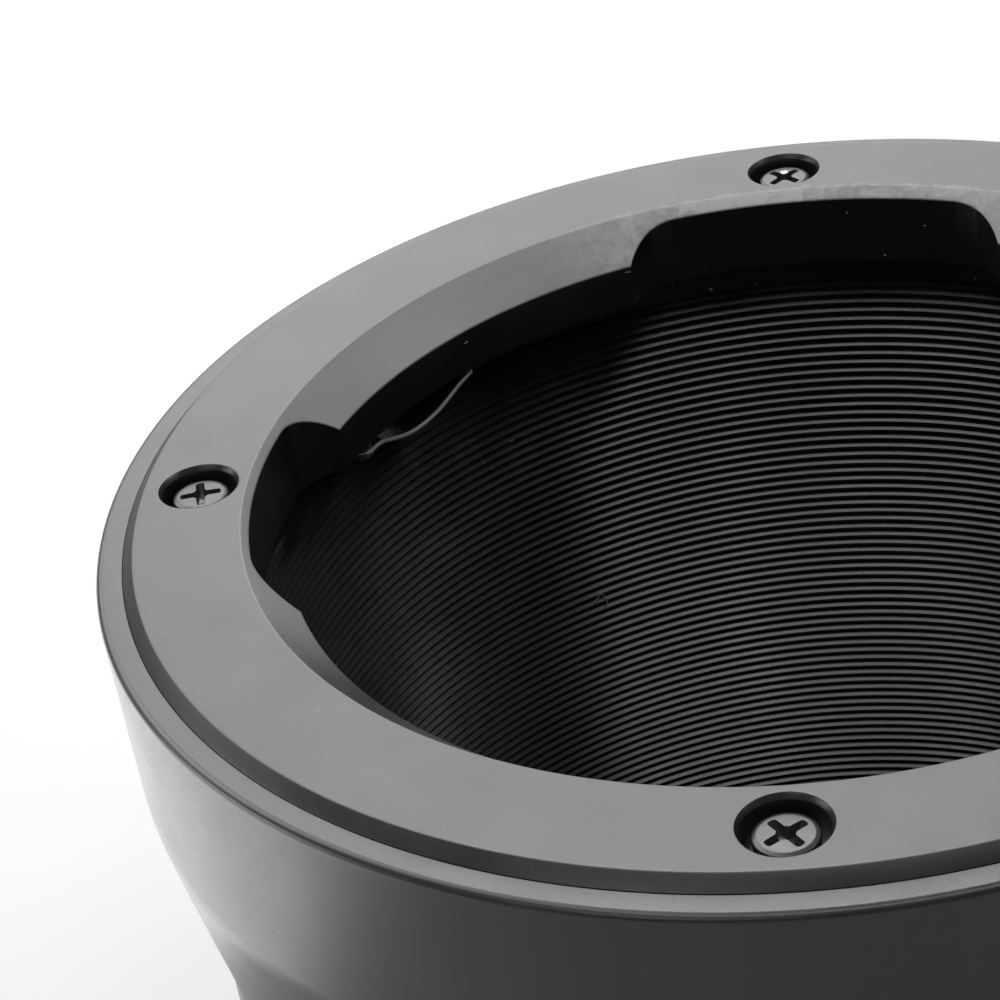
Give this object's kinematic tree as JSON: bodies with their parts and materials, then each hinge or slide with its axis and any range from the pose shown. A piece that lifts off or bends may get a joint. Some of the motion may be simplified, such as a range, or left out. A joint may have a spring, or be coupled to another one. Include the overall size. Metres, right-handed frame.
{
  "type": "lens mount adapter",
  "caption": "Deep black tubular lens mount adapter: bayonet ring with spring tabs and sprung lens lock on top, ribbed baffle bore, threaded camera spigot below.",
  "frame": {"origin": "where the optical axis crosses the plane that the lens seats on, the top face of the bayonet ring", "axes": "+Z along the optical axis towards the lens, -Y the side seen in front in the picture, +X to its right"},
  "size_m": [0.0608, 0.0604, 0.0457],
  "materials": {
    "black_anodised_body": "smooth matte black anodised aluminium, broad sheen",
    "black_anodised_ring": "fine matte black anodised, slightly scuffed on the lead-in",
    "black_steel_screw": "black oxide steel, satin",
    "spring_steel": "bright spring steel",
    "lock_steel": "turned steel"
  },
  "bodies": {
    "root": {"barrel": "black_anodised_body", "bayonet_ring": "black_anodised_ring", "ring_screw_right": "black_steel_screw", "ring_screw_back": "black_steel_screw", "ring_screw_left": "black_steel_screw", "ring_screw_front": "black_steel_screw", "tab_spring_left": "spring_steel", "tab_spring_front": "spring_steel", "tab_spring_right": "spring_steel", "spring_rivet_left": "black_steel_screw", "spring_rivet_front": "black_steel_screw", "spring_rivet_right": "black_steel_screw", "camera_plate": "black_anodised_ring", "plate_screw_1": "black_steel_screw", "plate_screw_2": "black_steel_screw", "plate_screw_3": "black_steel_screw", "plate_screw_4": "black_steel_screw", "pin_spring": "spring_steel"},
    "lock": {"lock_pin": "lock_steel", "lock_carriage": "lock_steel", "release_button": "black_anodised_body", "button_screw": "black_steel_screw"}
  },
  "joints": [
    {"name": "lock_slide", "type": "slide", "parent": "root", "child": "lock", "axis": [0, 0, -1], "range_m": [0, 0.0018], "stiffness_N_per_m": 300, "springref_m": -0.003, "deforming": ["pin_spring"]}
  ]
}
